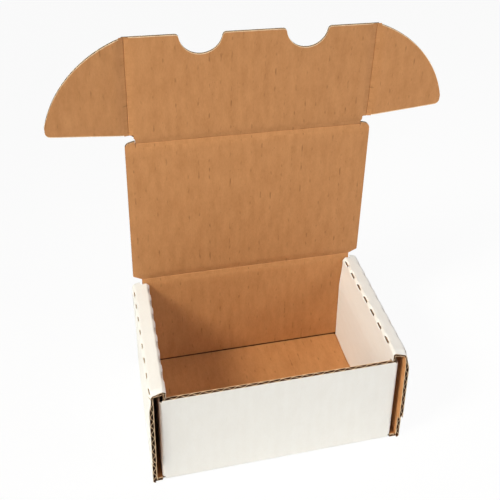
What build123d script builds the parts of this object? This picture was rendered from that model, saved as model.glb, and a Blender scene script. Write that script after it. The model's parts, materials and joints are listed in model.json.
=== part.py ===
from build123d import *
import os
from math import cos, degrees, radians, sin, sqrt, tan

# Storage box for standard trading cards, folded from one die-cut sheet of corrugated board.
# The sheet is three papers glued together: a white outer liner, a wave of kraft paper and a
# kraft inner liner. Every panel between two creases is built as those three plies.
# Millimetres. +X is the right side, +Y the back, +Z up. The origin is the centre of the base.

# Board
board = 2.6            # thickness of the corrugated board
liner = 0.3            # thickness of each of the two facing papers
medium = 0.25          # height that the fluting paper takes up in the wave
flute_pitch = 6.5      # nominal distance from crest to crest
flat_share = 0.18      # part of the pitch that is glued flat at each crest and trough

# Space for the cards, which stand on their long edge
inside_width = 127.7
inside_depth = 91.6
inside_height = 65.7   # up to the top of the side walls

# Clearances
fold_gap = 0.15        # between two boards folded flat against each other
ear_clearance = 0.25   # on each face of an ear in its slot
lid_clearance = 0.25   # between the closed lid and the walls under it
flap_standoff = 0.8    # between the closed tuck flap and the front wall
edge_gap = 0.3         # between a raw edge and the board it faces
crease_slit = 0.1      # between two facing papers at a crease that moves
crush = 0.1            # extra length of wave crushed flat at a crease
tab_play = 0.3         # at each end of a tab in its slot

# Front and side walls
front_drop = 6.3       # how far the front wall stays below the top of the side walls
roll_fall = 11.0       # degrees that the roll-over's top slopes down outwards
shoulder_radius = 3.0  # of the white face where the roll-over bends into the walls
perf_cut = 5.6         # length of a perforation cut
perf_land = 7.1        # paper left between two cuts
perf_width = 1.0       # width that a cut opens to on the fold
inner_cuts = 7         # cuts along the inner shoulder
outer_cuts = 8         # cuts along the outer shoulder
tab_length = 18.0      # of a locking tab at the foot of the inner wall
tab_spacing = 48.0     # centre to centre of the two tabs of one wall
tab_tip = 0.4          # how far a tab's end stays above the table
wall_proud = 0.6       # how far the outer walls reach past the front wall
slant_height = 4.0     # height of the slant at the top of the outer wall's front edge
slant_depth = 2.2      # how far that slant runs back
cutback_height = 20.0  # height of the step at the foot of the outer wall's front edge
cutback_depth = 2.4    # how far the step is cut back
cutback_radius = 1.0

# Dust flaps, folded in from the front and back walls
dust_length = 44.0
dust_step = 1.0        # how far the flaps stay below the top of the front wall
dust_taper = 1.5       # how much the flap narrows at its top and at its foot
dust_radius = 5.0

# Lid
lid_side = 2.6         # how far the lid's sides reach past the ears' creases
lid_heel = 3.2         # height of the cut corners beside the lid's hinge
lid_radius = 2.5       # rounding of the lid's front corners
lid_hump = 1.2         # how far those corners reach past the crease of the tuck flap
notch_depth = 6.1      # depth of the nick between lid and tuck flap

# Tuck flap and ears
flap_height = 67.9
finger_radius = 12.3   # radius of a finger notch
finger_spacing = 60.8  # centre to centre of the two finger notches
mouth_radius = 2.2     # rounding of a finger notch's mouth
ear_length = 45.6
ear_taper = 8.2        # degrees that the ear's straight edge leans away from the lid
ear_heel = 6.0         # height of the ear's blunt tip
ear_radius = 67.5      # radius of the ear's long curve
tip_radius = 3.5

# How far each moving panel is folded in the photograph, in degrees
lid_lean = 2.7         # forwards of upright
flap_fold = 2.5        # forwards of the lid
left_ear_fold = 6.2    # forwards of the tuck flap
right_ear_fold = 3.9

# Places worked out from the sizes above, from the inside of a side wall outwards
core_top = board - liner
half_inside = inside_width / 2
inner_back = half_inside + board
half_width = inner_back + fold_gap + board
slot_width = board + 2 * ear_clearance
outer_face = half_width + slot_width + board
ear_crease = half_width + slot_width - ear_clearance
half_depth = inside_depth / 2 + board
wall_front = half_depth + wall_proud
wall_top = board + inside_height
front_height = wall_top - front_drop
hinge_height = wall_top + lid_clearance + board
lid_half = ear_crease + lid_side
flap_face = half_depth + flap_standoff + board
lid_length = flap_face + half_depth
crease_half = lid_half - notch_depth

# The roll-over bends over an inner and an outer shoulder, with a flat slope between them. Its
# white face would meet the inner wall at roll_peak if that shoulder were sharp.
inner_turn = radians(90 + roll_fall)
outer_turn = radians(90 - roll_fall)
inner_tangent = shoulder_radius * tan(inner_turn / 2)
outer_tangent = shoulder_radius * tan(outer_turn / 2)
roll_slope = tan(radians(roll_fall))
roll_stretch = 1 / cos(radians(roll_fall))
roll_peak = wall_top + inner_tangent - shoulder_radius
roll_edge = roll_peak - roll_slope * (outer_face - half_inside)
inner_end = roll_peak - inner_tangent
outer_end = roll_edge - outer_tangent
roll_back = half_depth - board - edge_gap
roll_front = wall_front - slant_depth

# Where an ear has slid under the roll-over, it clears the roll's under face
under_roll = roll_peak - roll_slope * (ear_crease - half_inside) - board * roll_stretch
ear_cover = flap_face - roll_front
ear_start = hinge_height - under_roll + ear_clearance - ear_cover * tan(radians(ear_taper))
dust_top = front_height - dust_step
dust_foot = board + edge_gap

core_inset = core_top + crush  # how far the wave ends short of a crease
big = 200.0            # longer than any panel, for the solids that only cut


def save(solid, node):
    export_step(solid, "parts/" + node + ".step")


def sheet(points):
    """Flat shape with straight sides through the given corners."""
    return make_face(Polyline(*points, close=True))


def rectangle(x0, y0, x1, y1):
    return sheet([(x0, y0), (x1, y0), (x1, y1), (x0, y1)])


def sheet_3d(points):
    """Flat face through corners given in space."""
    return make_face(Polyline(*points, close=True))


def slab(shape, bottom, top):
    """A flat shape given thickness, from one depth in the board to another."""
    return Pos(0, 0, bottom) * extrude(shape, amount=top - bottom)


def wave_points(start, end):
    """Corners of the fluting's centre wave from start to end, as (place, is it a crest)."""
    count = max(1, round((end - start) / flute_pitch))
    pitch = (end - start) / count
    flat = pitch * flat_share / 2
    corners = []
    for half_wave in range(2 * count + 1):
        middle = start + half_wave * pitch / 2
        for place in (middle - flat, middle + flat):
            if start <= place <= end:
                corners.append((place, half_wave % 2 == 1))
    corners.insert(0, (start, False))
    corners.append((end, False))
    return corners


def wave(start, end, low, high):
    """The fluting across a flat panel: a wave across x, running straight along y."""
    corners = wave_points(start, end)
    top = [(x, low, core_top if crest else liner + medium) for x, crest in corners]
    under = [(x, low, core_top - medium if crest else liner) for x, crest in corners]
    return extrude(sheet_3d(top + under[::-1]), amount=high - low, dir=(0, 1, 0))


def fluting(shape):
    """The fluting of a panel whose wave fills the given flat shape."""
    box = shape.bounding_box()
    strip = wave(box.min.X, box.max.X, box.min.Y, box.max.Y)
    return strip & slab(shape, 0, board)


def plies(shape, core):
    """White liner, fluting and kraft liner of a panel, white face down at z = 0."""
    return {
        "white_liner": slab(shape, 0, liner),
        "fluting": fluting(core),
        "kraft_liner": slab(shape, core_top, board),
    }


def bevel(along_x, place, outward, span, slit=0.0, slope=1.0):
    """Solid that trims the edge of a panel on a slope, so that two boards fold together.

    The cut runs from the crease on the white face to the kraft face, where it is inside the
    crease by slope times the board. A crease that moves is cut a slit further back.
    """
    depths = (-board, 2 * board)
    inner = [(place - outward * (slope * depth + slit), depth) for depth in depths]
    outer = [(place + outward * 3 * board, depth) for depth in reversed(depths)]
    if along_x:
        corners = [(span[0], v, z) for v, z in inner + outer]
        direction = (1, 0, 0)
    else:
        corners = [(v, span[0], z) for v, z in inner + outer]
        direction = (0, 1, 0)
    return extrude(sheet_3d(corners), amount=span[1] - span[0], dir=direction)


def trim(panel, cutters):
    """Take the cutters away from both facing papers of a panel."""
    for ply in ("white_liner", "kraft_liner"):
        for cutter in cutters:
            panel[ply] = panel[ply] - cutter


def fold(panel, location, node):
    """Fold a panel into its place and write its three plies."""
    for ply, solid in panel.items():
        save(location * solid, node + "_" + ply)


def fold_both(panel, location, node):
    """Write a right-hand panel and, as its mirror image, the left-hand one."""
    for ply, solid in panel.items():
        right = location * solid
        save(right, "right_" + node + "_" + ply)
        save(mirror(right, about=Plane.YZ), "left_" + node + "_" + ply)


def bottom():
    """The base, with a slot for each of the four locking tabs."""
    raw = half_depth - edge_gap
    shape = rectangle(-outer_face, -raw, outer_face, raw)
    shape += rectangle(-half_width, -half_depth, half_width, half_depth)
    side = outer_face - core_inset
    end = half_depth - core_inset
    core = rectangle(-side, -raw, side, raw)
    for sign in (-1, 1):
        core -= rectangle(-half_width, sign * end, half_width, sign * big)
    for x_sign in (-1, 1):
        for y_sign in (-1, 1):
            near = x_sign * (half_inside - fold_gap)
            far = x_sign * (inner_back + fold_gap)
            middle = y_sign * tab_spacing / 2
            reach = tab_length / 2 + tab_play
            slot = rectangle(near, middle - reach, far, middle + reach)
            shape -= slot
            core -= slot
    panel = plies(shape, core)
    folds = []
    for sign in (-1, 1):
        folds.append(bevel(True, sign * half_depth, sign, (-half_width, half_width)))
        folds.append(bevel(False, sign * outer_face, sign, (-big, big)))
    trim(panel, folds)
    fold(panel, Location((0, 0, 0)), "bottom")


def end_wall(height, hinged):
    """Front or back wall: creased to the base and, at both sides, to its dust flaps."""
    shape = rectangle(-half_width, 0, half_width, height)
    head = height - core_inset - crease_slit if hinged else height
    side = half_width - core_inset
    core = rectangle(-half_width, core_inset, half_width, head)
    for sign in (-1, 1):
        core -= rectangle(sign * side, -big, sign * big, dust_top + crush)
    panel = plies(shape, core)
    folds = [bevel(True, 0, -1, (-big, big))]
    for sign in (-1, 1):
        folds.append(bevel(False, sign * half_width, sign, (dust_foot, dust_top)))
    if hinged:
        folds.append(bevel(True, height, 1, (-big, big), crease_slit))
    trim(panel, folds)
    return panel


def front_wall():
    """The low wall. Its top edge is raw and shows the open flutes."""
    plane = Plane(origin=(0, -half_depth, 0), x_dir=(-1, 0, 0), z_dir=(0, 1, 0))
    fold(end_wall(front_height, hinged=False), plane.location, "front_wall")


def back_wall():
    """The wall that carries the lid. Its top edge is the lid's crease."""
    plane = Plane(origin=(0, half_depth, 0), x_dir=(1, 0, 0), z_dir=(0, -1, 0))
    fold(end_wall(hinge_height, hinged=True), plane.location, "back_wall")


def dust_flaps():
    """Four flaps folded in from the end walls, each between an inner wall and an ear's slot.

    Modelled at the front right, where x is minus the distance from the crease and y is the
    height. The other three are mirror images.
    """
    shape = sheet([
        (0, dust_foot),
        (0, dust_top),
        (-dust_length, dust_top - dust_taper),
        (-dust_length, dust_foot + dust_taper),
    ])
    free_corners = [v for v in shape.vertices() if v.X < -dust_length / 2]
    shape = fillet(free_corners, radius=dust_radius)
    core = shape - rectangle(-core_inset, -big, big, big)
    panel = plies(shape, core)
    trim(panel, [bevel(False, 0, 1, (-big, big))])
    plane = Plane(origin=(half_width, -half_depth, 0), x_dir=(0, -1, 0), z_dir=(-1, 0, 0))
    for ply, solid in panel.items():
        front_right = plane.location * solid
        back_right = mirror(front_right, about=Plane.XZ)
        save(front_right, "front_right_dust_flap_" + ply)
        save(back_right, "back_right_dust_flap_" + ply)
        save(mirror(front_right, about=Plane.YZ), "front_left_dust_flap_" + ply)
        save(mirror(back_right, about=Plane.YZ), "back_left_dust_flap_" + ply)


def outer_walls():
    """The outer board of each side wall. Locally x is the height and y runs to the back."""
    shape = sheet([
        (0, half_depth),
        (outer_end, half_depth),
        (outer_end, -roll_front),
        (outer_end - slant_height, -wall_front),
        (cutback_height, -wall_front),
        (cutback_height, cutback_depth - wall_front),
        (0, cutback_depth - wall_front),
    ])
    step = [v for v in shape.vertices() if abs(v.X - cutback_height) < crush]
    shape = fillet(step, radius=cutback_radius)
    core = shape & rectangle(core_inset, -big, outer_end - crush, big)
    panel = plies(shape, core)
    trim(panel, [bevel(False, 0, -1, (-big, big))])
    plane = Plane(origin=(outer_face, 0, 0), x_dir=(0, 0, 1), z_dir=(-1, 0, 0))
    fold_both(panel, plane.location, "outer_wall")


def inner_walls():
    """The inner board of each side wall, white towards the cards, with its locking tabs."""
    shape = rectangle(board + fold_gap, -roll_back, inner_end, roll_back)
    for sign in (-1, 1):
        middle = sign * tab_spacing / 2
        tab = rectangle(
            tab_tip, middle - tab_length / 2, board + 2 * fold_gap, middle + tab_length / 2
        )
        shape += tab
    core = shape & rectangle(0, -big, inner_end - crush, big)
    panel = plies(shape, core)
    plane = Plane(origin=(half_inside, 0, 0), x_dir=(0, 0, 1), z_dir=(1, 0, 0))
    fold_both(panel, plane.location, "inner_wall")


def shoulder_arc(centre_x, centre_z, radius, start, end):
    """Quarter-like bend of the roll-over, between two angles in degrees from upright."""
    turns = [radians(angle) for angle in (start, (start + end) / 2, end)]
    points = [(centre_x + radius * sin(t), 0, centre_z + radius * cos(t)) for t in turns]
    return ThreePointArc(*points)


def bent_path(depth):
    """Section of the roll-over's white paper at a depth: a bend, a slope, a bend."""
    radius = shoulder_radius - depth
    inner = shoulder_arc(half_inside + shoulder_radius, inner_end, radius, -90, roll_fall)
    outer = shoulder_arc(outer_face - shoulder_radius, outer_end, radius, roll_fall, 90)
    return [inner, Line(inner @ 1, outer @ 0), outer]


def creased_path(depth):
    """Section of the kraft paper under it, which is pressed into a sharp corner at each bend."""
    left = half_inside + depth
    right = outer_face - depth
    fall = depth * roll_stretch
    return [Polyline(
        (left, 0, inner_end),
        (left, 0, roll_peak - roll_slope * depth - fall),
        (right, 0, roll_edge + roll_slope * depth - fall),
        (right, 0, outer_end),
    )]


def roll_paper(above, under):
    """A facing paper of the roll-over, between its two sections."""
    ends = [Line(above[0] @ 0, under[0] @ 0), Line(above[-1] @ 1, under[-1] @ 1)]
    section = make_face(above + under + ends)
    return extrude(section, amount=wall_front, dir=(0, 1, 0), both=True)


def roll_wave():
    """The fluting between the shoulders, which are creased flat."""
    start = Vector(half_inside, 0, roll_peak)
    along = Vector(cos(radians(roll_fall)), 0, -sin(radians(roll_fall)))
    down = Vector(-along.Z, 0, along.X) * -1
    flat_end = (outer_face - half_inside) * roll_stretch - outer_tangent
    corners = wave_points(inner_tangent + crush, flat_end - crush)
    top = [(x, core_top if crest else liner + medium) for x, crest in corners]
    under = [(x, core_top - medium if crest else liner) for x, crest in corners]
    section = [start + along * x + down * z for x, z in top + under[::-1]]
    return extrude(sheet_3d(section), amount=wall_front, dir=(0, 1, 0), both=True)


def perforations(centre_x, centre_z, lean, count):
    """Cuts along the middle of a shoulder, each square to the fold through both papers."""
    reach = shoulder_radius + board
    cut = Rot(0, lean, 0) * Pos(0, 0, reach / 2) * Box(perf_width, perf_cut, reach)
    middle = (count - 1) / 2
    return [
        Pos(centre_x, (i - middle) * (perf_cut + perf_land), centre_z) * cut
        for i in range(count)
    ]


def roll_tops():
    """The strip that joins outer and inner wall, over the dust flaps and the ear's slot.

    Its ends stop short of the end walls, and run out on a slant to the ends of the outer wall.
    """
    panel = {
        "white_liner": roll_paper(bent_path(0), bent_path(liner)),
        "fluting": roll_wave(),
        "kraft_liner": roll_paper(creased_path(core_top), creased_path(board)),
    }
    ends = []
    front = (-1, half_inside + shoulder_radius, roll_front)
    back = (1, half_width + fold_gap, half_depth)
    for sign, slant_start, reach in (front, back):
        corners = [
            (0, roll_back),
            (slant_start, roll_back),
            (outer_face, reach),
            (big, reach),
            (big, big),
            (0, big),
        ]
        ends.append(extrude(sheet([(x, sign * y) for x, y in corners]), amount=big))
    for ply in panel:
        for end in ends:
            panel[ply] = panel[ply] - end
    inner_lean = roll_fall - degrees(inner_turn) / 2
    outer_lean = roll_fall + degrees(outer_turn) / 2
    cuts = perforations(half_inside + shoulder_radius, inner_end, inner_lean, inner_cuts)
    cuts += perforations(outer_face - shoulder_radius, outer_end, outer_lean, outer_cuts)
    for ply in ("white_liner", "kraft_liner"):
        for cut in cuts:
            panel[ply] = panel[ply] - cut
    fold_both(panel, Location((0, 0, 0)), "roll_top")


lid_location = Plane(
    origin=(0, half_depth, hinge_height),
    x_dir=(1, 0, 0),
    z_dir=(0, -cos(radians(lid_lean)), -sin(radians(lid_lean))),
).location
flap_location = lid_location * Pos(0, lid_length, 0) * Rot(flap_fold, 0, 0)


def lid():
    """The lid. Locally y runs from its hinge to the crease of the tuck flap."""
    shape = sheet([
        (-half_width, 0),
        (half_width, 0),
        (lid_half, lid_heel),
        (lid_half, lid_length - edge_gap),
        (crease_half, lid_length + lid_hump),
        (crease_half, lid_length),
        (-crease_half, lid_length),
        (-crease_half, lid_length + lid_hump),
        (-lid_half, lid_length - edge_gap),
        (-lid_half, lid_heel),
    ])
    front_corners = [
        v for v in shape.vertices() if abs(v.X) > crease_half + crush and v.Y > lid_heel + crush
    ]
    shape = fillet(front_corners, radius=lid_radius)
    inset = core_inset + crease_slit
    core = shape - rectangle(-big, -big, big, inset)
    core -= rectangle(-crease_half, lid_length - inset, crease_half, big)
    panel = plies(shape, core)
    hinge = bevel(True, 0, -1, (-big, big), crease_slit)
    flap_crease = bevel(True, lid_length, 1, (-crease_half, crease_half), crease_slit)
    trim(panel, [hinge, flap_crease])
    fold(panel, lid_location, "lid")


def tuck_flap():
    """The flap that closes over the front wall, with a finger notch at each side."""
    root = board + edge_gap
    shape = sheet([
        (-crease_half, 0),
        (crease_half, 0),
        (crease_half, root),
        (ear_crease, ear_start),
        (ear_crease, flap_height),
        (-ear_crease, flap_height),
        (-ear_crease, ear_start),
        (-crease_half, root),
    ])
    for sign in (-1, 1):
        shape -= Pos(sign * finger_spacing / 2, flap_height) * Circle(finger_radius)
    mouths = [
        v for v in shape.vertices()
        if abs(v.Y - flap_height) < crush and abs(v.X) < ear_crease - crush
    ]
    shape = fillet(mouths, radius=mouth_radius)
    inset = core_inset + crease_slit
    core = shape & rectangle(inset - ear_crease, inset, ear_crease - inset, big)
    panel = plies(shape, core)
    folds = [bevel(True, 0, -1, (-big, big), crease_slit)]
    for sign in (-1, 1):
        folds.append(bevel(False, sign * ear_crease, sign, (-big, big), crease_slit))
    trim(panel, folds)
    fold(panel, flap_location, "tuck_flap")


def ears():
    """The two ears that slide into the side walls. Locally x runs outwards from the crease."""
    tip_height = ear_start + ear_length * tan(radians(ear_taper))
    heel_top = (ear_length, tip_height + ear_heel)
    chord = sqrt(ear_length ** 2 + (flap_height - heel_top[1]) ** 2)
    sagitta = ear_radius - sqrt(ear_radius ** 2 - (chord / 2) ** 2)
    edges = [
        Line((0, ear_start), (ear_length, tip_height)),
        Line((ear_length, tip_height), heel_top),
        SagittaArc(heel_top, (0, flap_height), -sagitta),
        Line((0, flap_height), (0, ear_start)),
    ]
    shape = make_face(edges)
    tip = [v for v in shape.vertices() if v.X > ear_length - crush]
    shape = fillet(tip, radius=tip_radius)
    core = shape - rectangle(-big, -big, core_inset + crease_slit, big)
    panel = plies(shape, core)
    trim(panel, [bevel(False, 0, -1, (-big, big), crease_slit)])
    right = flap_location * Pos(ear_crease, 0, 0) * Rot(0, -right_ear_fold, 0)
    left = flap_location * Pos(-ear_crease, 0, 0) * Rot(0, left_ear_fold, 0)
    fold(panel, right, "right_ear")
    fold({ply: mirror(solid, about=Plane.YZ) for ply, solid in panel.items()}, left, "left_ear")


os.makedirs("parts", exist_ok=True)
bottom()
front_wall()
back_wall()
dust_flaps()
outer_walls()
inner_walls()
roll_tops()
lid()
tuck_flap()
ears()
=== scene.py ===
import json
import math

import bpy
import numpy as np
from mathutils import Matrix, Vector

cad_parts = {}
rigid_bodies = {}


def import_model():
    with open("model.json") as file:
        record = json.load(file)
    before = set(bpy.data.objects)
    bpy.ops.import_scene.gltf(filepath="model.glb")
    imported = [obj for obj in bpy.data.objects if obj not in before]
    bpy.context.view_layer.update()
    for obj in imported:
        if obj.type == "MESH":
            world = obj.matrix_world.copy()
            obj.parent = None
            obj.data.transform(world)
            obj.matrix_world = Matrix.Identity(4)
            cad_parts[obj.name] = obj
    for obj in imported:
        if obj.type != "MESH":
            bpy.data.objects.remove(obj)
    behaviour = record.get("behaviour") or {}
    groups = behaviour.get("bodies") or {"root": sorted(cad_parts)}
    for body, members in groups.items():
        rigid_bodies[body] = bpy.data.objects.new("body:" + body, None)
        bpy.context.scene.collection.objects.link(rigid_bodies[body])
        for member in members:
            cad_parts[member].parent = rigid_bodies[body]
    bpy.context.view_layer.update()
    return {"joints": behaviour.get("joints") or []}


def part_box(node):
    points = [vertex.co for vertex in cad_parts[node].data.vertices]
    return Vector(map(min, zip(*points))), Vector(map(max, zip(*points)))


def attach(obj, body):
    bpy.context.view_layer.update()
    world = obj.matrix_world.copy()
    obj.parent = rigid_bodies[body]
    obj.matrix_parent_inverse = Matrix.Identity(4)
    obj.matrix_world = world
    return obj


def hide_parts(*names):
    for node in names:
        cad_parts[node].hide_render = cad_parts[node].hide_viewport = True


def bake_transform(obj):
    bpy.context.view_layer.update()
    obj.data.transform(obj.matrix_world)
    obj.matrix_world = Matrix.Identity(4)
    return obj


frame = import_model()

# Base panel. The real box is one die-cut sheet of corrugated board: a white paper outside, a wave of
# brown paper inside it, the fluting, and a kraft paper on the inner side, glued crest by crest.
# The base is creased to the four walls and has four slots for the side walls' locking tabs.
MM = 0.001
low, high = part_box("bottom_white_liner")
side_face = high.x
end_face = high.y
liner = high.z - low.z
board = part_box("bottom_kraft_liner")[1].z
medium = 0.32 * MM           # height that the fluting paper takes up in its wave
flute_pitch = 6.4 * MM       # from crest to crest
washboard = 0.05 * MM        # how far a facing paper sinks between two crests
fold_radius = 1.7 * MM       # of the white paper round a fold


def linear(hex_colour):
    """An sRGB hex colour as linear RGBA."""
    parts = [int(hex_colour[i:i + 2], 16) / 255 for i in (1, 3, 5)]
    return tuple(c / 12.92 if c <= 0.04045 else ((c + 0.055) / 1.055) ** 2.4 for c in parts) + (1.0,)


def add(tree, kind, inputs=None, **settings):
    """Adds a node with its settings. An input is another node's output, which is linked, or a value."""
    made = tree.nodes.new(kind)
    for name, value in settings.items():
        setattr(made, name, value)
    for name, value in (inputs or {}).items():
        if isinstance(value, bpy.types.NodeSocket):
            tree.links.new(value, made.inputs[name])
        else:
            made.inputs[name].default_value = value
    return made


def patches(tree, place, across, along, detail):
    """Noise on the sheet's own UV map, in metres, stretched to spots of the two given sizes."""
    stretched = add(tree, "ShaderNodeMapping", {"Vector": place, "Scale": (1 / across, 1 / along, 1)})
    return add(tree, "ShaderNodeTexNoise", {"Vector": stretched.outputs[0], "Scale": 1.0,
                                            "Detail": detail, "Roughness": 0.6}).outputs["Fac"]


cloud_share = 0.62           # of a paper's tone that the clouds make, where the fibres make the rest


def paper(name, light, dark, mark, mark_share, roughness, grain):
    """Paper: cloudy in tone, with broken dark marks where the crests of the fluting are glued on behind
    it, a few flecks of bark and a felted grain.

    The tone is the sum of cloud and fibre noise, each times its share. A mark shows where the sheet is
    close to a crest and the broken noise is high. The felt is drawn at 0.7 mm, ten times as coarse as
    real fibres, which are too fine to show.
    """
    material = bpy.data.materials.new(name)
    material.use_nodes = True
    tree = material.node_tree
    shader = tree.nodes["Principled BSDF"]
    place = add(tree, "ShaderNodeUVMap", uv_map="sheet").outputs[0]
    clouds = patches(tree, place, 5 * MM, 16 * MM, 2.5)
    fibres = patches(tree, place, 0.8 * MM, 2.4 * MM, 3.0)
    cloudy = add(tree, "ShaderNodeMath", {0: clouds, 1: cloud_share}, operation="MULTIPLY").outputs[0]
    mixed = add(tree, "ShaderNodeMath", {0: fibres, 1: 1 - cloud_share, 2: cloudy},
                operation="MULTIPLY_ADD").outputs[0]
    spread = add(tree, "ShaderNodeMapRange", {"Value": mixed, "From Min": 0.36, "From Max": 0.64})
    tone = add(tree, "ShaderNodeMix", {"Factor": spread.outputs[0], 6: linear(dark), 7: linear(light)},
               data_type="RGBA")
    across = add(tree, "ShaderNodeSeparateXYZ", {0: place}).outputs[0]
    crests = add(tree, "ShaderNodeMath", {0: across, 1: flute_pitch}, operation="DIVIDE").outputs[0]
    off_crest = add(tree, "ShaderNodeMath", {0: crests, 1: 0.5}, operation="PINGPONG").outputs[0]
    on_crest = add(tree, "ShaderNodeMapRange",
                   {"Value": off_crest, "From Min": 0.1, "From Max": 0.03}).outputs[0]
    broken = patches(tree, place, 3 * MM, 6 * MM, 1.0)
    dashes = add(tree, "ShaderNodeMapRange",
                 {"Value": broken, "From Min": 0.56, "From Max": 0.72}).outputs[0]
    marks = add(tree, "ShaderNodeMath", {0: on_crest, 1: dashes}, operation="MULTIPLY").outputs[0]
    bark = patches(tree, place, 0.6 * MM, 1.6 * MM, 1.0)
    flecks = add(tree, "ShaderNodeMapRange", {"Value": bark, "From Min": 0.72, "From Max": 0.78}).outputs[0]
    both = add(tree, "ShaderNodeMath", {0: marks, 1: flecks}, operation="MAXIMUM").outputs[0]
    shown = add(tree, "ShaderNodeMath", {0: both, 1: mark_share}, operation="MULTIPLY").outputs[0]
    colour = add(tree, "ShaderNodeMix", {"Factor": shown, 6: tone.outputs[2], 7: linear(mark)},
                 data_type="RGBA")
    tree.links.new(colour.outputs[2], shader.inputs["Base Color"])
    felt = patches(tree, place, 0.7 * MM, 0.7 * MM, 3.0)
    bump = add(tree, "ShaderNodeBump", {"Height": felt, "Strength": grain, "Distance": 0.08 * MM})
    tree.links.new(bump.outputs[0], shader.inputs["Normal"])
    shader.inputs["Roughness"].default_value = roughness
    shader.inputs["Specular IOR Level"].default_value = 0.5
    return material


# Kraft facing: unbleached pulp, matt, warm brown. White facing: bleached and lightly coated, so it is
# smoother and a little shinier. Fluting: recycled pulp, a little darker and duller than the facings, and
# painted darker still as painted shade for the flutes' hollows and the narrow gaps under the inner walls.
# Where the knife has torn a paper, loose fibres stand up, so its edge is paler and fuzzier than its face.
kraft_paper = paper("kraft facing paper", "#C68B56", "#B77D49", "#754819", 0.5, 0.75, 0.4)
white_paper = paper("coated white facing paper", "#EDEBE7", "#EAE7E2", "#DBD6CD", 0.15, 0.55, 0.1)
# Painted shade: the fluting's colours are darker than the paper itself, standing in for the shade inside the
# flutes and under the inner walls' feet
flute_paper_with_shade = paper("fluting paper darkened with painted shade", "#67391B", "#4C2810", "#33190A", 0.4, 0.9, 0.8)
raw_edge = paper("torn fibres of a raw cut edge", "#F4D4AE", "#E4BE92", "#A87B4E", 0.4, 0.9, 0.8)
white_edge = paper("cut edge of the white paper", "#F3E8D8", "#E6D6BE", "#C9AF8C", 0.4, 0.85, 0.5)
# Slot, then the materials of a ply's outer face, its inner face and its cut edges
FINISH = {"white": ("white_liner", white_paper, flute_paper_with_shade, white_edge),
          "flute": ("kraft_fluting", flute_paper_with_shade, flute_paper_with_shade, raw_edge),
          "kraft": ("kraft_liner", kraft_paper, flute_paper_with_shade, raw_edge)}


def shell(name, near, far, places, kept, finish, torn=None):
    """A closed sheet between two grids of points, whose cells are left out where kept is False.

    Each kept cell gives one face on each grid, and each edge between a kept and a missing cell gives
    one face of the rim. Where the first face's normal points at the far grid, all faces are turned
    round. places is the flat sheet's own position of every grid point, for the UV map. Where torn is
    True, the near grid's cells have the cut edge's finish.
    """
    m, n = kept.shape[0] + 1, kept.shape[1] + 1
    number = np.arange(m * n).reshape(m, n)
    a, b, c, d = (number[:-1, :-1][kept], number[1:, :-1][kept], number[1:, 1:][kept], number[:-1, 1:][kept])
    padded = np.pad(kept, 1)
    faces = [np.stack([a, b, c, d], 1), np.stack([a, d, c, b], 1) + m * n]
    under, over = padded[1:-1, :-1], padded[1:-1, 1:]
    left, right = padded[:-1, 1:-1], padded[1:, 1:-1]
    for edge, start, end in (
        (over & ~under, number[1:, :], number[:-1, :]),
        (under & ~over, number[:-1, :], number[1:, :]),
        (right & ~left, number[:, :-1], number[:, 1:]),
        (left & ~right, number[:, 1:], number[:, :-1]),
    ):
        p, q = start[edge], end[edge]
        faces.append(np.stack([p, q, q + m * n, p + m * n], 1))
    faces = np.concatenate(faces)
    points = np.concatenate([near.reshape(-1, 3), far.reshape(-1, 3)])
    i, j, _, l = faces[0]
    outwards = np.cross(points[j] - points[i], points[l] - points[i]) @ (points[i] - points[i + m * n])
    if outwards < 0:
        faces = faces[:, ::-1]
    used, faces = np.unique(faces, return_inverse=True)
    faces = faces.reshape(-1, 4)
    mesh = bpy.data.meshes.new(name)
    mesh.from_pydata(points[used].tolist(), [], faces.tolist())
    flat = np.concatenate([places.reshape(-1, 2)] * 2)[used]
    mesh.uv_layers.new(name="sheet").data.foreach_set("uv", flat[faces].astype(np.float32).ravel())
    mesh.shade_smooth()
    mesh.set_sharp_from_angle(angle=math.radians(35))
    mesh.validate()
    piece = bpy.data.objects.new(name, mesh)
    bpy.context.scene.collection.objects.link(piece)
    slot, *materials = FINISH[finish]
    for material in materials:
        mesh.materials.append(material)
    cells = int(kept.sum())
    side_of = np.full(len(faces), 2)
    side_of[:cells] = 0 if torn is None else np.where(torn[kept], 2, 0)
    side_of[cells:2 * cells] = 1
    mesh.polygons.foreach_set("material_index", side_of.astype(np.int32))
    return piece


far_off = 1.0                # metres, past every end of the sheet


def stations(start, end, step, *exact):
    """Places along a sheet from start to end, about a step apart, with the exact ones among them.

    An even place closer to an exact one than 0.3 of a step gives way to it.
    """
    even = np.linspace(start, end, max(2, int(round((end - start) / step)) + 1))
    inside = [p for p in exact if start < p < end]
    close = np.abs(even[:, None] - np.array(inside or [far_off])).min(1) < step * 0.3
    close[[0, -1]] = False
    return np.unique(np.concatenate([even[~close], inside]))


def smooth(value, start, end):
    """0 before start and 1 after end, with an even turn at both."""
    share = np.clip((value - start) / (end - start), 0, 1)
    return share ** 2 * (3 - 2 * share)


def bell(distance, reach):
    """A bell curve: e to the minus square of the distance over its reach."""
    return np.exp(-(distance / reach) ** 2)


wheel_depth = 0.7 * MM       # of the dent at a crease that moves
wheel_reach = 3.2 * MM       # at which little more than a third of that depth is left


def dent(distance):
    """Depth of the hollow that the creasing wheel leaves in the kraft face."""
    return wheel_depth * bell(distance, wheel_reach)


def straight(s, origin, across, inward):
    """The line of a flat sheet: origin plus s across, with the same inward direction all along."""
    points = np.array(origin)[None] + s[:, None] * np.array(across)[None]
    return points, np.tile(np.array(inward, float), (len(s), 1))


torn_rim = 0.45 * MM         # strip of torn fibres along a cut
crushed_rim = 1.2 * MM       # strip that the knife has squeezed along a cut
crushed_share = 0.45         # of the board's thickness, lost at the cut itself
sheet_step = 0.037           # metres, which place the next ply elsewhere on the sheet of paper


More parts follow.
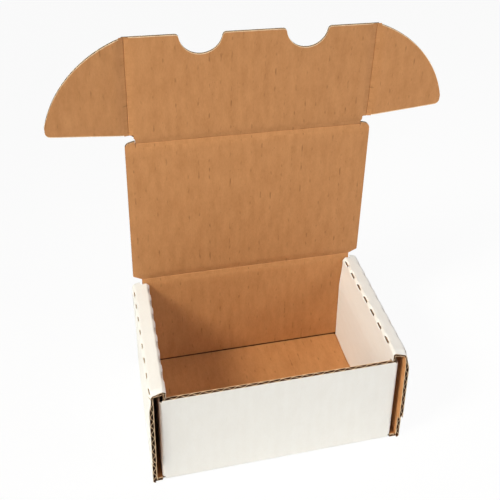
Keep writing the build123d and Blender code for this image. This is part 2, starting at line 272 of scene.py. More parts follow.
def ply(name, s, line, along, ends, layer, rows, absolute=False, holes=(), foot=0.0, squeeze=None,
        shift=None, cuts=(0, 0), to_crease=None):
    """One ply of a panel, carried along the panel's line.

    A point is the line's point at s, plus the flutes' direction times v, plus the inward direction
    times its depth. v runs between the two ends, each a value for every s: rows are shares of that
    stretch or, if absolute, positions that only give way close to the ends. The facings sink by the
    washboard depth between the crests that hold them, as a cosine of s, and the fluting is that
    cosine. With a foot, the first quarter turn of v is bent round a fold of that radius. Where the
    board is squeezed by a share, every depth moves that share of its way to the kraft face. cuts says
    with 1 or 0 which of the two ends are cut: there the knife has squeezed the board's rim, and torn
    fibres show along the kraft paper. to_crease gives the distance to the nearest crease that moves,
    beside which the kraft face is dented. A hole leaves out the cells where the distances from its
    middle, over its half sizes and each to its power, add up to 1 or less.
    """
    points, inward = line
    start, end = ends[0][:, None], ends[1][:, None]
    if absolute:
        give = 8 * MM
        near_start = np.clip(1 - (rows - rows[0]) / give, 0, 1)[None]
        near_end = np.clip(1 - (rows[-1] - rows) / give, 0, 1)[None]
        v = rows[None] + (start - rows[0]) * near_start + (end - rows[-1]) * near_end
    else:
        v = (start + crushed_rim * cuts[0]) * (1 - rows) + (end - crushed_rim * cuts[1]) * rows
        v = np.hstack([start, start + torn_rim] * cuts[0] + [v] + [end - torn_rim, end] * cuts[1])
    wave = np.cos(2 * np.pi * s / flute_pitch)[:, None]
    if layer == "white":
        face = washboard * (1 + wave) / 2
        depths = face, face + liner
    elif layer == "kraft":
        face = board - washboard * (1 - wave) / 2
        depths = face, face - liner
    else:
        swing = (board - 2 * liner - medium - washboard) / 2
        middle = board / 2 + swing * wave
        depths = middle - medium / 2, middle + medium / 2
    turn = np.zeros_like(v)
    slack = 0.0
    if foot:
        turn = np.clip(1 - v / (foot * np.pi / 2), 0, 1) * np.pi / 2
        slack = foot * (np.pi / 2 - 1)
    grids = []
    for depth in depths:
        depth = depth + np.zeros_like(v)
        if squeeze is not None:
            depth = board - (board - depth) * (1 - squeeze(s[:, None], v))
        if to_crease is not None:
            depth = depth * (1 - dent(to_crease(s[:, None], v)) / board)
        if any(cuts):
            pressed = (cuts[0] * (1 - smooth(v, start, start + crushed_rim))
                       + cuts[1] * smooth(v, end - crushed_rim, end))
            depth = board - (board - depth) * (1 - crushed_share * pressed)
        inset = foot * (1 - np.cos(turn)) + depth * np.cos(turn)
        rise = np.where(turn > 0, foot * (1 - np.sin(turn)), v - slack) + depth * np.sin(turn)
        grid = (points[:, None] + inward[:, None] * inset[..., None]
                + np.array(along)[None, None] * rise[..., None])
        if shift is not None:
            grid[..., 0] += shift(s[:, None], v)
        grids.append(grid)
    kept = np.ones((v.shape[0] - 1, v.shape[1] - 1), bool)
    middle_s = ((s[1:] + s[:-1]) / 2)[:, None]
    middle_v = (v[1:, 1:] + v[:-1, 1:] + v[1:, :-1] + v[:-1, :-1]) / 4
    for s0, s1, v0, v1, power in holes:
        off_s = np.abs(middle_s - (s0 + s1) / 2) / ((s1 - s0) / 2)
        off_v = np.abs(middle_v - (v0 + v1) / 2) / ((v1 - v0) / 2)
        kept &= off_s ** power + off_v ** power > 1
    places = np.stack([s[:, None] + 0 * v, v + sheet_step * len(bpy.data.objects)], -1)
    torn = np.zeros_like(kept)
    if layer == "kraft":
        torn[:, 0], torn[:, -1] = cuts
    return shell(name, grids[0], grids[1], places, kept, layer, torn)


NODE_ENDS = {"white": "white_liner", "flute": "fluting", "kraft": "kraft_liner"}
FLAT_ROWS = np.linspace(0, 1, 9)


def panel(name, body, span, ends_of, line_of, along, exact=(), step=0.4 * MM, rows=FLAT_ROWS,
          feet=False, holes_of=lambda layer: (), **more):
    """The three plies of a panel, each in place of its solid.

    span gives the first and last s of a layer, ends_of the first and last v for every s, and holes_of
    the layer's holes.
    """
    for layer, node_end in NODE_ENDS.items():
        s = stations(*span(layer), step, *exact)
        foot = fold_radius if feet and layer == "white" else 0.0
        made = ply(f"{name}_{layer}_ply", s, line_of(s), along, ends_of(layer, s), layer, rows,
                   foot=foot, holes=holes_of(layer), **more)
        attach(made, body)
        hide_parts(f"{name}_{node_end}")


wall_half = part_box("front_wall_white_liner")[1].x
raw_end = max(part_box("bottom_kraft_liner")[1].y, end_face - 0.3 * MM)
# Where each ply stops short of a fold's outer face
to_fold = {"white": fold_radius, "flute": board, "kraft": board}


def base_ends(layer, s):
    """Front and back ends of the base: at the walls' folds, and raw cuts beside them."""
    reach = np.where(np.abs(s) < wall_half, end_face - to_fold[layer], raw_end)
    return -reach, reach


inner_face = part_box("right_inner_wall_white_liner")[0].x
tab_half = 9.0 * MM          # half the length of a locking tab
tab_play = 0.3 * MM          # at each end of a tab in its slot
tab_middle = 24 * MM         # from the middle of the wall to the middle of a tab
slot_gap = 0.15 * MM         # on each face of a tab in its slot
rectangle, oval = 40, 3      # powers of a hole's outline
tab_slots = []
for side in (-1, 1):
    for middle in (-tab_middle, tab_middle):
        across = sorted((side * (inner_face - slot_gap), side * (inner_face + board + slot_gap)))
        tab_slots.append((*across, middle - tab_half - tab_play, middle + tab_half + tab_play, rectangle))
slot_edges = [edge for slot in tab_slots for edge in slot[:2]]
# The inner walls' feet have pressed a line into the kraft face: a crease's dent, but narrower
foot_line = inner_face - 0.2 * MM
foot_narrowing = 4
foot_lines = [side * (foot_line + off * 0.15 * MM) for side in (-1, 1) for off in range(-8, 9)]
base_rows = stations(-end_face, end_face, 6 * MM, *[edge for slot in tab_slots[:2] for edge in slot[2:4]])
panel("bottom", "box", lambda layer: (to_fold[layer] - side_face, side_face - to_fold[layer]),
      base_ends, lambda s: straight(s, (0, 0, 0), (1, 0, 0), (0, 0, 1)), (0, 1, 0),
      exact=(*foot_lines, *slot_edges, -wall_half, wall_half), rows=base_rows, absolute=True,
      to_crease=lambda s, v: foot_narrowing * (np.abs(s) - foot_line) + 0 * v,
      holes_of=lambda layer: tab_slots)

# Front wall. The low wall in front of the cards: its top edge is a raw cut that shows the open flutes.
# At both sides its white paper turns round a soft fold into the dust flaps, and its foot is folded up
# from the base.
top_drop = 1.0 * MM          # how much lower than the solids these walls end
front_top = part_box("front_wall_white_liner")[1].z - top_drop
front_lean = 0.55 * MM       # how far its top edge has sprung forwards
dust_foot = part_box("front_left_dust_flap_white_liner")[0].z
dust_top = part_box("front_left_dust_flap_white_liner")[1].z - top_drop
fold_gap = 0.95 * MM         # the kraft paper is split open along the inside of its fold
quarter = fold_radius * math.pi / 2
slack = quarter - fold_radius    # how much longer the rounded fold is than its radius
flat_end = wall_half - fold_radius    # where the flat face ends and the folds at the sides begin


def wrapped(s, y_sign):
    """The line of an end wall's white paper: flat in the middle and bent back at both sides.

    Past the flat stretch the line turns by the angle (s - flat_end) / radius, up to a quarter turn.
    """
    turn = np.clip((np.abs(s) - flat_end) / fold_radius, 0, np.pi / 2)
    x = np.sign(s) * (np.minimum(np.abs(s), flat_end) + fold_radius * np.sin(turn))
    back = fold_radius * (1 - np.cos(turn)) + np.maximum(np.abs(s) - flat_end - quarter, 0)
    points = np.stack([x, y_sign * (end_face - back), 0 * s], 1)
    inward = np.stack([-np.sign(s) * np.sin(turn), -y_sign * np.cos(turn), 0 * s], 1)
    return points, inward


def end_wall_span(layer):
    """First and last s of an end wall: the white paper runs on round the folds at its sides."""
    reach = wall_half - board if layer != "white" else flat_end + quarter
    return -reach, reach


def end_wall_ends(top):
    """Foot and top of an end wall for every s. Beside the flat face the white paper starts higher."""
    def ends(layer, s):
        if layer != "white":
            foot = board + (fold_gap if layer == "kraft" else 0)
            return foot + 0 * s, top(layer) + 0 * s
        bent = np.abs(s) > flat_end + 0.01 * MM
        return (np.where(bent, dust_foot + slack, 0.0),
                np.where(bent, min(dust_top, top(layer)) + slack, top(layer) + slack))
    return ends


fold_rows = np.concatenate([np.linspace(0, 0.04, 7), np.linspace(0.08, 1, 9)])    # close on the fold
panel("front_wall", "box", end_wall_span, end_wall_ends(lambda layer: front_top),
      lambda s: wrapped(s, -1), (0, -front_lean / front_top, 1), exact=(-flat_end, flat_end),
      rows=fold_rows, feet=True)

# Back wall. The same panel, taller: its top edge is the crease that the lid hangs on.
hinge = Vector(next(j["pos_m"] for j in frame["joints"] if j["name"] == "lid_hinge"))
# How far each ply stays away from a crease that moves, where strips of paper bridge the gap
crease_half_width = {"white": 1.2 * MM, "flute": 2.7 * MM, "kraft": 2.7 * MM}
wall_fold_rows = np.concatenate([fold_rows[:-1], np.linspace(0.9, 1, 6)])


def back_top(layer):
    """Height of the back wall's top edge, just below the lid's crease."""
    return hinge.z - crease_half_width[layer]


def below_hinge(s, v):
    """Distance from the lid's crease."""
    return hinge.z - v


panel("back_wall", "box", end_wall_span, end_wall_ends(back_top),
      lambda s: wrapped(s, 1), (0, 0, 1), exact=(-flat_end, flat_end), rows=wall_fold_rows, feet=True,
      to_crease=below_hinge)
# Above the dust flaps the wall goes on flat to its corners, with a raw cut at each side
for side, label in ((-1, "left"), (1, "right")):
    for layer, start, count in (("white", flat_end, 5), ("flute", wall_half - board, 7),
                                ("kraft", wall_half - board, 7)):
        s = np.linspace(side * start, side * wall_half, count)
        made = ply(f"back_wall_{layer}_{label}_corner", s,
                   straight(s, (0, end_face, 0), (1, 0, 0), (0, -1, 0)),
                   (0, 0, 1), (dust_top + 0 * s, back_top(layer) + 0 * s), layer, FLAT_ROWS,
                   to_crease=None if layer == "white" else below_hinge)
        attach(made, "box")

# Dust flaps. Four flaps folded in from the ends of the front and back walls, tucked between the inner
# wall and the slot that the lid's ears slide into. Their free corners are rounded.
dust_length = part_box("front_right_dust_flap_white_liner")[1].y + end_face
dust_taper = 1.5 * MM        # how much a flap narrows at its top and at its foot
dust_corner = 5 * MM


def corner_drop(distance, radius):
    """How far a rounded corner stays below its side, at a distance from the other side: the radius less
    the height of the circle there."""
    inside = np.clip(radius - distance, 0, radius)
    return radius - np.sqrt(radius ** 2 - inside ** 2)


def dust_ends(layer, s):
    """Foot and top of a dust flap: a straight taper and two rounded corners."""
    drop = dust_taper * s / dust_length + corner_drop(dust_length - s, dust_corner)
    return dust_foot + drop, dust_top - drop


for x_side, x_name in ((-1, "left"), (1, "right")):
    for y_side, y_name in ((-1, "front"), (1, "back")):
        panel(f"{y_name}_{x_name}_dust_flap", "box", lambda layer: (to_fold[layer], dust_length), dust_ends,
              lambda s: straight(s, (x_side * wall_half, y_side * end_face, 0), (0, -y_side, 0),
                                 (-x_side, 0, 0)),
              (0, 0, 1), step=0.6 * MM)

# Side walls. Each is one strip, folded up from the base as the outer wall, rolled over the dust flaps
# and the ears' slot and tucked down inside as the inner wall. The two bends are perforated, so that
# thick board can turn there, and the paper stands out between the cuts.
shoulder = 3 * MM            # radius of the white paper round each bend
roll_fall = math.radians(11)    # slope of the roll's top, down to the outside
outer_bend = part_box("right_outer_wall_white_liner")[1].z
inner_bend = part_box("right_inner_wall_white_liner")[1].z
roll_back_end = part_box("right_inner_wall_white_liner")[1].y
solid_proud = 0.6 * MM       # how far the solid's edge reaches past the front wall
wall_proud = 2.6 * MM        # how far the wall's edge stands further out than that
front_edge = end_face + solid_proud + wall_proud
roll_front = end_face + 0.65 * MM    # the roll's front end, just past the front wall
step_height = 18.5 * MM      # of the step at the foot of the front edge
step_depth = 2.4 * MM
step_run = 0.6 * MM          # height over which the edge steps
slant_start = outer_bend - 4 * MM
outer_turn, inner_turn = math.pi / 2 - roll_fall, math.pi / 2 + roll_fall
# Lengths of the strip's stretches, from the flat base over both bends to the foot of the inner wall
slope_run = (side_face - inner_face - 2 * shoulder) / math.cos(roll_fall)
stretches = [quarter, outer_bend - fold_radius, shoulder * outer_turn, slope_run,
             shoulder * inner_turn, inner_bend]
marks = np.concatenate([[0], np.cumsum(stretches)])


def rolled(s, side):
    """The line of a side wall's strip: straight stretches joined by bends of a steady radius.

    Each stretch starts where the last one ends and keeps its heading. On a bend the heading turns by
    the distance over the radius, and the point swings about the bend's centre.
    """
    bends = [fold_radius, None, shoulder, None, shoulder, None]
    point, heading = np.array([side_face - fold_radius, 0.0]), 0.0
    points, inwards = np.zeros((len(s), 2)), np.zeros((len(s), 2))
    for start, end, radius in zip(marks[:-1], marks[1:], bends):
        there = s >= start - 1e-12
        run = np.clip(s[there], start, end if end < marks[-1] else far_off) - start
        left = np.array([-math.sin(heading), math.cos(heading)])
        if radius is None:
            points[there] = point + run[:, None] * np.array([math.cos(heading), math.sin(heading)])
            inwards[there] = left
            point = point + (end - start) * np.array([math.cos(heading), math.sin(heading)])
            continue
        centre = point + radius * left
        turned = heading + run / radius
        inwards[there] = np.stack([-np.sin(turned), np.cos(turned)], 1)
        points[there] = centre - radius * inwards[there]
        heading += (end - start) / radius
        point = centre - radius * np.array([-math.sin(heading), math.cos(heading)])
    flat = np.zeros(len(s))
    return (np.stack([side * points[:, 0], flat, points[:, 1]], 1),
            np.stack([side * inwards[:, 0], flat, inwards[:, 1]], 1))


def height_mark(z):
    """Place along the strip of a height on the outer wall."""
    return quarter + z - fold_radius


outer_crease = (marks[2] + marks[3]) / 2
# How far round the inner bend the cuts lie, on the right (1) and on the left (-1)
cut_turn = {1: math.radians(28), -1: math.radians(50)}
inner_creases = {side: marks[4] + shoulder * (roll_fall + turn) for side, turn in cut_turn.items()}
inner_top = marks[5] + inner_bend - front_top - 1.0 * MM    # just above the front wall's top
# How far each bend draws the back end in, and the bell curve's reach
outer_draw, inner_draw = (1.4 * MM, 3 * MM), (0.8 * MM, 1.5 * MM)


def side_ends(layer, s):
    """Front and back ends of the strip.

    The front end steps at the foot and slants over the roll to the inside. Below inner_top it stays
    behind the front wall. The back end is drawn in by a bell curve at each bend.
    """
    front = front_edge + (roll_front - front_edge) * smooth(s, height_mark(slant_start), marks[3])
    front = front + (roll_back_end - roll_front) * smooth(s, inner_top - 0.5 * MM, inner_top + 0.5 * MM)
    front = front - step_depth * np.clip((height_mark(step_height) - s) / step_run, 0, 1)
    over_wall = end_face - outer_draw[0] * bell(s - marks[2], outer_draw[1])
    inside = roll_back_end - inner_draw[0] * bell(s - inner_creases[1], inner_draw[1])
    beside_wall = (marks[3] + marks[4]) / 2 - 0.5 * MM
    back = over_wall + (inside - over_wall) * smooth(s, beside_wall, beside_wall + 0.4 * MM)
    return -front, back


# Cuts in each bend: their places from front to back, and a cut's length and width
outer_cuts = (np.arange(8) - 3.5) * 12.0 * MM - 3.3 * MM, 4.6 * MM, 1.0 * MM
inner_cuts = (np.arange(7) - 3) * 12.5 * MM + 1.7 * MM, 6.3 * MM, 1.9 * MM
# How deep the board sinks at a cut of each bend, and how far it swells along the bend
outer_sink, inner_sink = (0.35 * MM, 0), (1.35 * MM, 0.38 * MM)
cut_reach = 1.6 * MM         # of the hollow about a cut
cut_blur = 0.4 * MM          # over which the hollow fades at a cut's two ends
top_squeeze = 1.45 * MM      # how much thinner the top of the inner wall is
top_squeeze_run = 22 * MM    # and how far down that goes
crush_start = 56.5 * MM      # height from which the outer bend's front end is crushed
crush_depth = 1.3 * MM
crush_back = 45.5 * MM       # where the crushed part ends, before the box's middle
crush_loss = 0.6             # share of the crush that is gone at the inner bend
swell_limit, squeeze_limit = -0.15, 0.7    # of the shares


def bend_relief(s, v, side):
    """Share by which the board is squeezed. The inner wall is pressed thinner towards its top, the roll
    sinks at each cut and stands out between two, and its outer bend is crushed at the front end."""
    from_upright = np.clip((s - marks[4]) / shoulder - roll_fall, 0, np.pi / 2)
    pressed = top_squeeze * np.sin(from_upright) * (1 - smooth(s, marks[5], marks[5] + top_squeeze_run))
    for middle, (cuts, length, _), (sink, swell) in (
            (outer_crease, outer_cuts, outer_sink),
            (inner_creases[side], inner_cuts, inner_sink)):
        off = np.abs(v[..., None] - cuts).min(-1)
        at_cut = 1 / (1 + np.exp((off - length / 2) / cut_blur))
        pressed = pressed + (sink * at_cut - swell) * bell(s - middle, cut_reach)
    crushed = smooth(s, height_mark(crush_start), marks[2])
    crushed = crushed * (1 - crush_loss * smooth(s, marks[3], marks[4]))
    crushed = crushed * (1 - smooth(s, marks[4], marks[5] - 1 * MM))
    pressed = pressed + crush_depth * crushed * smooth(-v, crush_back, roll_front)
    return np.clip(pressed / board, swell_limit, squeeze_limit)


flare_start = 20 * MM        # height from which the side wall leans outwards
flare_reach = 1.0 * MM       # how far it leans at its outer bend's back end


def flare(s, v):
    """How far the side wall leans outwards: smoothly more up to the outer bend, and evenly more from
    its front end to its back end."""
    height = smooth(s, height_mark(flare_start), outer_crease) * (1 - smooth(s, outer_crease, marks[4]))
    return flare_reach * height * np.clip(v / (2 * end_face) + 0.5, 0, 1)


def tabs_ends(layer, s):
    """Front and back ends of the inner wall, whose back end is straight."""
    return side_ends(layer, s)[0], roll_back_end + 0 * s


cut_edges = [y + end * (length / 2 - inset) for cuts, length, _ in (outer_cuts, inner_cuts) for y in cuts
             for end in (-1, 1) for inset in (0, 0.35 * MM)]
cut_rows = stations(-front_edge, end_face, 0.7 * MM, *cut_edges)
wall_rows = stations(-front_edge, end_face, 5 * MM)
tab_sides = [middle + end * tab_half for middle in (-tab_middle, tab_middle) for end in (-1, 1)]
tab_rows = stations(-roll_front, roll_back_end, 5 * MM, *tab_sides)
beside_tabs = ((-far_off, tab_sides[0]), (tab_sides[1], tab_sides[2]), (tab_sides[3], far_off))
seam = 0.3 * MM              # how far past its bends the roll's plies run
tab_lift = 0.55 * MM         # how far a tab's end stays above the table
strip_end = marks[5] + inner_bend
# Gap under each ply of the inner wall beside its tabs. The white paper stands in the pressed line
# In this gap the fluting's darkened colour is painted shade, for the dark line under the wall's foot
foot_gap = {"white": -0.3 * MM, "flute": 0.3 * MM, "kraft": 0.3 * MM}
foot_of = {layer: strip_end - board - gap for layer, gap in foot_gap.items()}


def gaps(layer):
    """The cut-outs at the foot of the inner wall, which leave its tabs standing."""
    return [(foot_of[layer], foot_of[layer] + 20 * MM, *ends, rectangle) for ends in beside_tabs]


for side, label in ((-1, "left"), (1, "right")):
    def strip(s):
        return rolled(s, side)

    def relief(s, v):
        return bend_relief(s, v, side)

    def lean(s, v):
        return side * flare(s, v)

    crease_cuts = ((outer_crease, *outer_cuts), (inner_creases[side], *inner_cuts))
    perforations = [(bend - width / 2, bend + width / 2, y - length / 2, y + length / 2, oval)
                    for bend, cuts, length, width in crease_cuts for y in cuts]
    cut_sides = [bend + way * width / 2 for bend, _, _, width in crease_cuts for way in (-1, 1)]
    panel(f"{label}_outer_wall", "box",
          lambda layer: (0 if layer == "white" else height_mark(board), marks[2] - seam),
          side_ends, strip, (0, 1, 0), rows=wall_rows, absolute=True, squeeze=relief, shift=lean,
          exact=(height_mark(step_height), height_mark(step_height) - step_run, quarter))
    panel(f"{label}_roll_top", "box", lambda layer: (marks[2] - seam, marks[5] + seam),
          side_ends, strip, (0, 1, 0), rows=cut_rows, absolute=True, exact=(*marks[2:6], *cut_sides),
          step=0.25 * MM, holes_of=lambda layer: perforations, squeeze=relief, shift=lean)
    panel(f"{label}_inner_wall", "box", lambda layer: (marks[5] + seam, strip_end - tab_lift),
          tabs_ends, strip, (0, 1, 0), rows=tab_rows, absolute=True, exact=foot_of.values(), holes_of=gaps,
          squeeze=relief)

# Lid. It hangs on the crease at the back wall's top and stands open, leaning a little forwards. Its
# front corners carry a nick on each side, where the tuck flap's crease ends.
lid_lean = math.radians(2.7)
lid_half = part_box("lid_white_liner")[1].x
nick_depth = 6.1 * MM
crease_half = lid_half - nick_depth
flap_pivot = Vector(next(j["pos_m"] for j in frame["joints"] if j["name"] == "tuck_flap_crease"))
lid_length = (flap_pivot - hinge).length
lid_heel = 3.2 * MM          # height of the cut corners beside the lid's hinge
lid_hump = 1.2 * MM          # how far the front corners reach past the tuck flap's crease
lid_corner = 2.5 * MM
jump = 0.04 * MM             # width of the one column in which an edge steps
nick_start = crease_half + 0.15 * MM


def leaning(angle):
    """Up and inward directions of a panel that leans forwards by an angle."""
    return (0, -math.sin(angle), math.cos(angle)), (0, -math.cos(angle), -math.sin(angle))


def lid_ends(layer, s):
    """Back and front edge of the lid: straight along its creases, then a slant at each back corner and a
    rounded hump at each front one."""
    off = np.abs(s)
    crease = crease_half_width[layer]
    heel = (off - wall_half) * lid_heel / (lid_half - wall_half)
    low = np.where(off > wall_half + jump / 2, heel, crease)
    beside = (off - nick_start) / (lid_half - nick_start)
    shoulder_top = lid_length + lid_hump - beside * (lid_hump + 0.3 * MM)
    shoulder_top = shoulder_top - corner_drop(lid_half - off, lid_corner)
    return low, np.where(off > nick_start + jump / 2, shoulder_top, lid_length - crease)


def mirrored(*places):
    """The places and their mirror images."""
    return [side * place for place in places for side in (-1, 1)]


corner_steps = [lid_half - lid_corner * (1 - math.sin(t)) for t in np.linspace(0.2, 1.5, 9)]
lid_up, lid_in = leaning(lid_lean)
lid_rows = np.concatenate([np.linspace(0, 0.07, 7), np.linspace(0.15, 0.85, 6), np.linspace(0.93, 1, 7)])
panel("lid", "lid", lambda layer: (-lid_half, lid_half), lid_ends,
      lambda s: straight(s, hinge, (1, 0, 0), lid_in), lid_up, rows=lid_rows,
      to_crease=lambda s, v: np.minimum(v, lid_length - v),
      exact=mirrored(wall_half, wall_half + jump, nick_start, nick_start + jump, *corner_steps))

# Tuck flap. It closes over the front wall, and each of its two finger notches is a half circle with a
# rounded mouth, cut through the board.
flap_fold = math.radians(2.5)
flap_height = 67.9 * MM
finger_radius = 12.3 * MM
finger_middle = 30.4 * MM    # from the flap's middle to a notch's
mouth_radius = 2.2 * MM      # rounding of a notch's mouth
ear_crease = abs(next(j["pos_m"][0] for j in frame["joints"] if j["name"] == "right_ear_crease"))
ear_start = 6.0 * MM         # where the ear's straight edge starts, above the flap's crease
flap_root = board + 0.3 * MM    # where the flap's edge starts beside its crease
# The notch's circle and the mouth's touch: their centres and that point lie on one line
mouth_half = math.sqrt((finger_radius + mouth_radius) ** 2 - mouth_radius ** 2)
mouth_meets = mouth_half * finger_radius / (finger_radius + mouth_radius)


def flap_ends(layer, s):
    """Foot and top of the tuck flap. Across a notch the top edge is a circle, and beside it the smaller
    circle of the mouth."""
    slit = crease_half_width[layer]
    off = np.abs(s)
    beside = (off - crease_half) / (ear_crease - crease_half)
    low = np.where(off > crease_half + jump / 2, flap_root + beside * (ear_start - flap_root), slit)
    across = np.abs(off - finger_middle)
    notch = -np.sqrt(np.maximum(finger_radius ** 2 - across ** 2, 0))
    mouth = np.sqrt(np.maximum(mouth_radius ** 2 - (mouth_half - across) ** 2, 0)) - mouth_radius
    cut = np.where(across < mouth_meets, notch, np.where(across < mouth_half, mouth, 0.0))
    return low, flap_height + cut


notch_steps = [finger_middle + side * finger_radius * math.sin(t)
               for t in np.linspace(0, math.asin(mouth_meets / finger_radius), 26) for side in (-1, 1)]
notch_steps += [finger_middle + side * (mouth_half - mouth_radius * math.sin(t))
                for t in np.linspace(0, math.asin((mouth_half - mouth_meets) / mouth_radius), 8)
                for side in (-1, 1)]
flap_up, flap_in = leaning(lid_lean + flap_fold)
flap_rows = np.concatenate([np.linspace(0, 0.1, 7), np.linspace(0.2, 1, 6)])
panel("tuck_flap", "tuck_flap",
      lambda layer: tuple(side * (ear_crease - crease_half_width[layer]) for side in (-1, 1)),
      flap_ends, lambda s: straight(s, flap_pivot, (1, 0, 0), flap_in), flap_up, cuts=(0, 1),
      rows=flap_rows, to_crease=lambda s, v: np.minimum(v, ear_crease - np.abs(s)),
      exact=mirrored(crease_half, crease_half + jump, *notch_steps))

# Ears. A wing on each side of the tuck flap, which slides into the slot in the side wall: a straight
# edge towards the lid, a long curve outside and a blunt rounded tip.
ear_length = 45.6 * MM
ear_taper = math.tan(math.radians(8.2))    # slope of the straight edge
ear_heel = 6 * MM            # height of the blunt tip
ear_radius = 67.5 * MM       # of the long curve
tip_radius = 2.8 * MM
ear_folds = {"left": math.radians(6.2), "right": math.radians(3.9)}
heel_top = ear_start + ear_length * ear_taper + ear_heel
# The curve runs from the top of the tip to the flap's top edge. Its centre lies square to that chord
chord = Vector((-ear_length, flap_height - heel_top))
to_centre = math.sqrt(ear_radius ** 2 - (chord.length / 2) ** 2)
square_to_chord = Vector((-chord.y, chord.x)) / chord.length
arc_centre = Vector((ear_length, heel_top)) + chord / 2 + square_to_chord * to_centre


def ear_ends(layer, s):
    """Straight edge and long curve of an ear, the curve a circle about arc_centre."""
    drop = corner_drop(ear_length - s, tip_radius)
    curve = arc_centre.y + np.sqrt(ear_radius ** 2 - (s - arc_centre.x) ** 2)
    return ear_start + s * ear_taper + drop, np.minimum(curve, flap_height)


def ear_lines(side, label):
    """An ear's pivot, its direction outwards and its inward direction, both turned by its fold."""
    fold = ear_folds[label]
    outwards = Vector((side, 0, 0))
    across = outwards * math.cos(fold) + Vector(flap_in) * math.sin(fold)
    inward = Vector(flap_in) * math.cos(fold) - outwards * math.sin(fold)
    return flap_pivot + Vector((side * ear_crease, 0, 0)), across, inward


tip_steps = [ear_length - tip_radius * (1 - math.sin(t)) for t in np.linspace(0, 1.5, 12)]
for side, label in ((-1, "left"), (1, "right")):
    pivot, across, ear_in = ear_lines(side, label)
    panel(f"{label}_ear", f"{label}_ear",
          lambda layer: (crease_half_width[layer], ear_length), ear_ends,
          lambda s: straight(s, pivot, across, ear_in), flap_up, exact=tip_steps, cuts=(1, 1),
          to_crease=lambda s, v: s + 0 * v)

# Creases that move. At each of the four the fluting is crushed flat and the two papers run on from panel
# to panel. The creasing wheel has dented the kraft paper and scored a sharp line in the middle of the
# dent, which closes up as the panels fold, and the white paper bends round it.
sharp_line = 0.35 * MM       # how deep the line in the middle of the dent is
sharp_reach = 0.25 * MM
spread_turn = 0.6 * math.pi / 2    # the sine of turns up to this one sets the places across a strip


def crease(name, bodies, pivot, along, ways, inwards, span, waves, cuts=(0, 0)):
    """Both facing papers across a crease, bent from one panel's way to the other's.

    A point is the pivot plus its place along the crease, plus |t| the way of its own panel, plus the
    inward direction times its depth. The kraft face has the same dent as the panels beside it, and a
    sharp line in its middle that falls off as a narrower bell curve. waves gives each panel's washboard
    along the crease, and cuts says which ends the knife has squeezed, as in a panel. bodies is not used.
    """
    along, ways, inwards = np.array(along), np.array(ways), np.array(inwards)
    c = stations(*span, 0.8 * MM)
    squeezed = crushed_share * (cuts[0] * (1 - smooth(c, span[0], span[0] + crushed_rim))
                                + cuts[1] * smooth(c, span[1] - crushed_rim, span[1]))[:, None]
    for layer in ("white", "kraft"):
        reach = crease_half_width[layer]
        t = reach * np.sin(np.linspace(-1, 1, 25) * spread_turn) / math.sin(spread_turn)
        t = np.unique(np.concatenate([t, np.linspace(-0.6, 0.6, 9) * MM]))
        turned = smooth(t, -reach, reach)[:, None]
        inward = inwards[0] * (1 - turned) + inwards[1] * turned
        way = np.where(t[:, None] < 0, ways[0], ways[1]) * np.abs(t)[:, None]
        wave = waves[0](c)[:, None] * (1 - turned.T) + waves[1](c)[:, None] * turned.T
        if layer == "white":
            face = washboard * (1 + wave) / 2
            other = face + liner
        else:
            line = sharp_line * bell(t, sharp_reach)
            face = (board - washboard * (1 - wave) / 2) * (1 - dent(t) / board) - line
            other = face - liner * (1 - dent(t) / board)
        depths = [board - (board - depth) * (1 - squeezed) for depth in (face, other)]
        grids = [np.array(pivot) + c[:, None, None] * along + way[None] + inward[None] * depth[..., None]
                 for depth in depths]
        places = np.stack(np.broadcast_arrays(c[:, None], t[None]), -1)
        whole = np.ones((len(c) - 1, len(t) - 1), bool)
        strip = shell(f"{name}_{layer}_paper", *grids, places, whole, layer)
        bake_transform(strip)


def wave_along(c):
    """The washboard's wave where the crease runs across the flutes."""
    return np.cos(2 * np.pi * c / flute_pitch)


def wave_at(place):
    """The wave where the crease runs along a flute: the same at every point of it."""
    return lambda c: np.cos(2 * np.pi * place / flute_pitch) + 0 * c


crease("lid_crease", ("box", "lid"), hinge, (1, 0, 0), ((0, 0, -1), lid_up), ((0, -1, 0), lid_in),
       (-wall_half, wall_half), (wave_along, wave_along))
crease("flap_crease", ("lid", "tuck_flap"), flap_pivot, (1, 0, 0), (tuple(-u for u in lid_up), flap_up),
       (lid_in, flap_in), (-crease_half, crease_half), (wave_along, wave_along))
for side, label in ((-1, "left"), (1, "right")):
    pivot, across, ear_in = ear_lines(side, label)
    crease(f"{label}_ear_crease", ("tuck_flap", f"{label}_ear"), pivot, flap_up,
           ((-side, 0, 0), across), (flap_in, ear_in), (ear_start, flap_height),
           (wave_at(ear_crease - crease_half_width["kraft"]), wave_at(crease_half_width["kraft"])), (1, 1))

# Floor. A plain pale sheet of studio paper under the object. The camera sees most of it as white, by a
# glow that only camera rays meet, and the rest of its look keeps the object's shadow.
floor_size = 20.0            # metres from the middle to each side
glow_share = 0.93
mesh = bpy.data.meshes.new("floor")
mesh.from_pydata([(-floor_size, -floor_size, 0), (floor_size, -floor_size, 0), (floor_size, floor_size, 0),
                  (-floor_size, floor_size, 0)], [], [(0, 1, 2, 3)])
floor = bpy.data.objects.new("floor", mesh)
bpy.context.scene.collection.objects.link(floor)
seamless = bpy.data.materials.new("pale seamless floor")
seamless.use_nodes = True
tree = seamless.node_tree
tree.nodes["Principled BSDF"].inputs["Base Color"].default_value = linear("#F4F4F4")
tree.nodes["Principled BSDF"].inputs["Roughness"].default_value = 0.9
seen = add(tree, "ShaderNodeLightPath").outputs["Is Camera Ray"]
share = add(tree, "ShaderNodeMath", {0: seen, 1: glow_share}, operation="MULTIPLY").outputs[0]
glow = add(tree, "ShaderNodeEmission", {"Strength": 1.0}).outputs[0]
bright = add(tree, "ShaderNodeMixShader", {0: share, 1: tree.nodes["Principled BSDF"].outputs[0], 2: glow})
tree.links.new(bright.outputs[0], tree.nodes["Material Output"].inputs["Surface"])
mesh.materials.append(seamless)

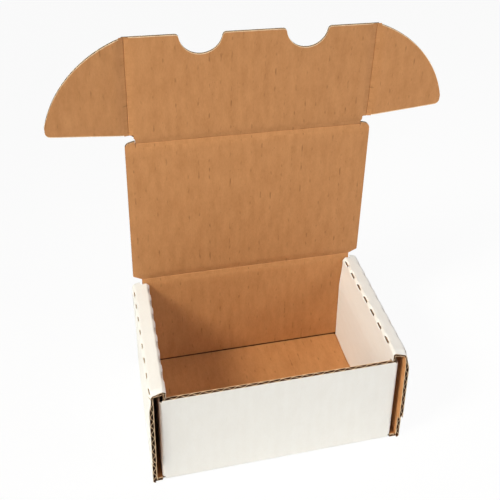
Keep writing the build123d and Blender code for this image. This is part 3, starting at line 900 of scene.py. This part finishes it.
# Camera. Its place, focal length and picture centre were worked out from the box's corners in the
# photograph, whose frame is cropped, so the centre lies off the picture's own.
picture = 500                # pixels a side
focal, centre_x, centre_y = 788.2, 288.3, 119.3    # pixels
azimuth, elevation, roll = (math.radians(a) for a in (-15.32, 25.99, 1.98))
distance = 982.7 * MM
target = Vector((143.45, 483.48, -44.78)) * MM
back = Vector((math.sin(azimuth) * math.cos(elevation), -math.cos(azimuth) * math.cos(elevation),
               math.sin(elevation)))
right = (-back).cross(Vector((0, 0, 1))).normalized()
up = right.cross(-back)
turned_right = right * math.cos(roll) + up * math.sin(roll)
turned_up = up * math.cos(roll) - right * math.sin(roll)
camera = bpy.data.objects.new("camera", bpy.data.cameras.new("camera"))
bpy.context.scene.collection.objects.link(camera)
camera.data.sensor_width = 36
camera.data.lens = focal / picture * camera.data.sensor_width
camera.data.shift_x = (picture / 2 - centre_x) / picture
camera.data.shift_y = (centre_y - picture / 2) / picture
place = Matrix((turned_right, turned_up, back)).transposed().to_4x4()
place.translation = target + back * distance
camera.matrix_world = place
bpy.context.scene.camera = camera

# Light. Plain soft studio light: a key lamp with a narrow hood on the upper left, a lamp on each side
# that fills the shadows, and a white surround.
world = bpy.data.worlds.new("world")
world.use_nodes = True
world.node_tree.nodes["Background"].inputs["Color"].default_value = (1, 1, 1, 1)
world.node_tree.nodes["Background"].inputs["Strength"].default_value = 0.29
bpy.context.scene.world = world


def lamp(name, size, energy, location, aim, spread, colour):
    """A square lamp with its size in metres, its energy in watts and its spread in degrees."""
    made = bpy.data.objects.new(name, bpy.data.lights.new(name, "AREA"))
    made.data.size = size
    made.data.energy = energy
    made.data.spread = math.radians(spread)
    made.data.color = linear(colour)[:3]
    made.location = location
    made.rotation_euler = (Vector(aim) - made.location).to_track_quat("-Z", "Y").to_euler()
    bpy.context.scene.collection.objects.link(made)


lamp("key", 0.3, 0.58, (-0.7, -0.35, 0.8), (0, 0, 0.12), 40, "#FFFDF0")
lamp("right fill", 0.4, 2.6, (0.6, -0.4, 0.5), (0, 0, 0.1), 180, "#F8FAFF")
lamp("left fill", 0.4, 1.1, (-0.7, -0.2, 0.25), (0, 0, 0.1), 180, "#FFFFFF")
bpy.context.scene.view_settings.view_transform = "Standard"
